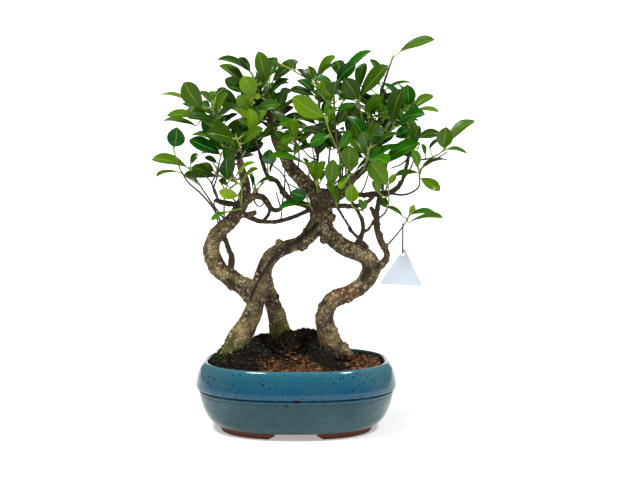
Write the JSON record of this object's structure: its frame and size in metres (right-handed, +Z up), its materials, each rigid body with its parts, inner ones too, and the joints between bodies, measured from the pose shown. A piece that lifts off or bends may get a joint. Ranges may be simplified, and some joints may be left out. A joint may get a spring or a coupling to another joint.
{
  "type": "potted bonsai tree",
  "caption": "Small evergreen fig tree grown as a bonsai, with curved fused trunks and a leafy crown, standing in an oval glazed pot filled with soil.",
  "frame": {"origin": "on the ground, under the middle of the whole object's bounding box", "axes": "+Z up, -Y towards the viewer of the front, +X to the viewer's right"},
  "size_m": [0.4532, 0.2308, 0.5565],
  "materials": {
    "glaze": "gloss",
    "soil": "rough, moist earth",
    "granules": "rough baked clay",
    "screen": "matte",
    "bark": "living bark, smooth to slightly rough",
    "leaf": null,
    "card": "matte white",
    "tie": "matte"
  },
  "bodies": {
    "root": {"drain_screen_left": "screen", "drain_screen_right": "screen", "granules_front": "granules", "granules_right": "granules", "pot": "glaze", "soil": "soil", "spray_left_back_high": "leaf", "spray_left_back_inner": "leaf", "spray_left_back_low": "leaf", "spray_left_back_top": "leaf", "spray_left_bright": "leaf", "spray_left_dark": "leaf", "spray_left_front": "leaf", "spray_left_inner": "leaf", "spray_left_low": "leaf", "spray_left_low_back": "leaf", "spray_left_outer": "leaf", "spray_left_outer_low": "leaf", "spray_left_round": "leaf", "spray_left_shaded": "leaf", "spray_left_sickle": "leaf", "spray_left_tip_front": "leaf", "spray_left_tip_rear": "leaf", "spray_left_tip_upper": "leaf", "spray_left_top": "leaf", "spray_left_top_rear": "leaf", "spray_left_young": "leaf", "spray_middle_back": "leaf", "spray_middle_back_high": "leaf", "spray_middle_bright": "leaf", "spray_middle_front": "leaf", "spray_middle_high": "leaf", "spray_middle_left": "leaf", "spray_middle_low": "leaf", "spray_middle_narrow": "leaf", "spray_middle_pair": "leaf", "spray_right_back_high": "leaf", "spray_right_back_low": "leaf", "spray_right_back_middle": "leaf", "spray_right_back_outer": "leaf", "spray_right_back_under": "leaf", "spray_right_crown": "leaf", "spray_right_far": "leaf", "spray_right_front": "leaf", "spray_right_front_high": "leaf", "spray_right_high": "leaf", "spray_right_long": "leaf", "spray_right_low": "leaf", "spray_right_middle": "leaf", "spray_right_olive": "leaf", "spray_right_prominent": "leaf", "spray_right_round": "leaf", "spray_right_shoot": "leaf", "spray_right_tip": "leaf", "spray_right_under": "leaf", "spray_tag_twig": "leaf", "tag": "card", "tag_tie": "tie", "trunk": "bark"}
  },
  "joints": []
}
